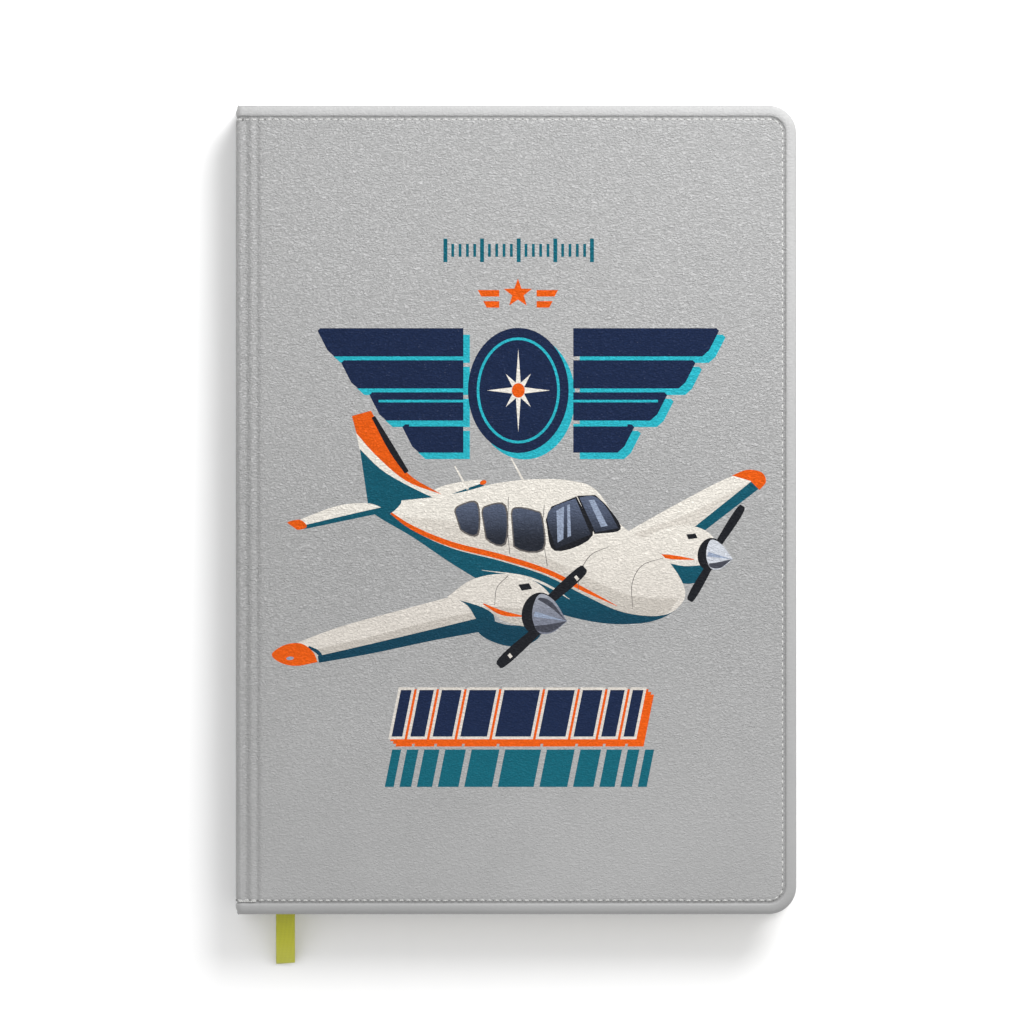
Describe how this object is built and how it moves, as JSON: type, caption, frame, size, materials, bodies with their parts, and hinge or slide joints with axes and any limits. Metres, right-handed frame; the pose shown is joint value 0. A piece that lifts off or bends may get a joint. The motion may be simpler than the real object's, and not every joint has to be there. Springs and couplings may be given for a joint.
{
  "type": "pilot logbook",
  "caption": "A5 hardback logbook in grey faux leather with stitched edges, sewn sections, head bands and a ribbon marker. It opens flat at the middle.",
  "frame": {"origin": "middle of the back cover's outer face, on the surface that the closed book lies on", "axes": "+X from the spine to the fore-edge, +Y from the tail to the head, +Z from the back cover to the front cover"},
  "size_m": [0.147, 0.2247, 0.0173],
  "materials": {
    "grey_faux_leather": "pebbled, satin",
    "grey_board": "matt grey board",
    "filler_card": "matt",
    "endpaper": "uncoated",
    "page_paper": "uncoated, ruled",
    "kraft_paper": "matt",
    "open_weave_cloth": "open weave",
    "striped_band": "grey and white stripes",
    "sewing_thread": "waxed thread",
    "edge_thread": "twisted thread",
    "olive_ribbon": "satin weave"
  },
  "bodies": {
    "root": {"back_cover_skin": "grey_faux_leather", "back_board": "grey_board", "back_infill_card": "filler_card", "back_pastedown": "endpaper", "back_hinge_skin": "grey_faux_leather", "back_mull_flap": "open_weave_cloth", "back_endpaper_hinge": "endpaper", "back_edge_thread": "edge_thread", "back_flyleaf": "endpaper", "section_12": "page_paper", "section_12_thread": "sewing_thread"},
    "spine": {"spine_skin": "grey_faux_leather", "spine_board": "grey_board", "spine_lining": "kraft_paper", "spine_mull": "open_weave_cloth", "head_band": "striped_band", "tail_band": "striped_band"},
    "front_cover": {"front_cover_skin": "grey_faux_leather", "front_board": "grey_board", "front_infill_card": "filler_card", "front_pastedown": "endpaper", "front_hinge_skin": "grey_faux_leather", "front_mull_flap": "open_weave_cloth", "front_endpaper_hinge": "endpaper", "front_edge_thread": "edge_thread"},
    "front_flyleaf": {"front_flyleaf": "endpaper"},
    "ribbon": {"ribbon_marker": "olive_ribbon"},
    "section_01": {"section_01": "page_paper", "section_01_thread": "sewing_thread"},
    "section_02": {"section_02": "page_paper", "section_02_thread": "sewing_thread"},
    "section_03": {"section_03": "page_paper", "section_03_thread": "sewing_thread"},
    "section_04": {"section_04": "page_paper", "section_04_thread": "sewing_thread"},
    "section_05": {"section_05": "page_paper", "section_05_thread": "sewing_thread"},
    "section_06": {"section_06": "page_paper", "section_06_thread": "sewing_thread"},
    "section_07": {"section_07": "page_paper", "section_07_thread": "sewing_thread"},
    "section_08": {"section_08": "page_paper", "section_08_thread": "sewing_thread"},
    "section_09": {"section_09": "page_paper", "section_09_thread": "sewing_thread"},
    "section_10": {"section_10": "page_paper", "section_10_thread": "sewing_thread"},
    "section_11": {"section_11": "page_paper", "section_11_thread": "sewing_thread"}
  },
  "joints": [
    {"name": "spine_lean", "type": "hinge", "parent": "root", "child": "spine", "pos_m": [-0.0714, 0, 0.0021], "axis": [0, -1, 0], "range_deg": [0, 90], "deforming": ["back_hinge_skin"]},
    {"name": "front_cover_open", "type": "hinge", "parent": "spine", "child": "front_cover", "pos_m": [-0.0714, 0, 0.01521], "axis": [0, -1, 0], "range_deg": [0, 90], "deforming": ["front_hinge_skin"]},
    {"name": "front_flyleaf_turn", "type": "hinge", "parent": "root", "child": "front_flyleaf", "pos_m": [-0.0711, 0, 0.00865], "axis": [0, -1, 0], "range_deg": [0, 179.3]},
    {"name": "section_01_turn", "type": "hinge", "parent": "root", "child": "section_01", "pos_m": [-0.0711, 0, 0.00865], "axis": [0, -1, 0], "range_deg": [0, 178.9]},
    {"name": "section_02_turn", "type": "hinge", "parent": "root", "child": "section_02", "pos_m": [-0.0711, 0, 0.00865], "axis": [0, -1, 0], "range_deg": [0, 178.2]},
    {"name": "section_03_turn", "type": "hinge", "parent": "root", "child": "section_03", "pos_m": [-0.0711, 0, 0.00865], "axis": [0, -1, 0], "range_deg": [0, 177.5]},
    {"name": "section_04_turn", "type": "hinge", "parent": "root", "child": "section_04", "pos_m": [-0.0711, 0, 0.00865], "axis": [0, -1, 0], "range_deg": [0, 176.7]},
    {"name": "section_05_turn", "type": "hinge", "parent": "root", "child": "section_05", "pos_m": [-0.0711, 0, 0.00865], "axis": [0, -1, 0], "range_deg": [0, 175.7]},
    {"name": "section_06_turn", "type": "hinge", "parent": "root", "child": "section_06", "pos_m": [-0.0711, 0, 0.00865], "axis": [0, -1, 0], "range_deg": [0, 174.7]},
    {"name": "section_07_turn", "type": "hinge", "parent": "root", "child": "section_07", "pos_m": [-0.0711, 0, 0.00865], "axis": [0, -1, 0], "range_deg": [0, 5.4]},
    {"name": "section_08_turn", "type": "hinge", "parent": "root", "child": "section_08", "pos_m": [-0.0711, 0, 0.00865], "axis": [0, -1, 0], "range_deg": [0, 4.4]},
    {"name": "section_09_turn", "type": "hinge", "parent": "root", "child": "section_09", "pos_m": [-0.0711, 0, 0.00865], "axis": [0, -1, 0], "range_deg": [0, 3.4]},
    {"name": "section_10_turn", "type": "hinge", "parent": "root", "child": "section_10", "pos_m": [-0.0711, 0, 0.00865], "axis": [0, -1, 0], "range_deg": [0, 2.5]},
    {"name": "section_11_turn", "type": "hinge", "parent": "root", "child": "section_11", "pos_m": [-0.0711, 0, 0.00865], "axis": [0, -1, 0], "range_deg": [0, 1.7]},
    {"name": "ribbon_swing", "type": "hinge", "parent": "section_07", "child": "ribbon", "pos_m": [-0.0667, 0.103, 0.00865], "axis": [0, 0, 1], "range_deg": [0, 8]}
  ],
  "couplings": [
    {"joint": "spine_lean", "follows": "front_cover_open", "ratio": 1},
    {"joint": "front_flyleaf_turn", "follows": "front_cover_open", "ratio": 1.992},
    {"joint": "section_01_turn", "follows": "front_cover_open", "ratio": 1.987},
    {"joint": "section_02_turn", "follows": "front_cover_open", "ratio": 1.98},
    {"joint": "section_03_turn", "follows": "front_cover_open", "ratio": 1.972},
    {"joint": "section_04_turn", "follows": "front_cover_open", "ratio": 1.963},
    {"joint": "section_05_turn", "follows": "front_cover_open", "ratio": 1.952},
    {"joint": "section_06_turn", "follows": "front_cover_open", "ratio": 1.94},
    {"joint": "section_07_turn", "follows": "front_cover_open", "ratio": 0.06},
    {"joint": "section_08_turn", "follows": "front_cover_open", "ratio": 0.048},
    {"joint": "section_09_turn", "follows": "front_cover_open", "ratio": 0.037},
    {"joint": "section_10_turn", "follows": "front_cover_open", "ratio": 0.027},
    {"joint": "section_11_turn", "follows": "front_cover_open", "ratio": 0.018}
  ]
}
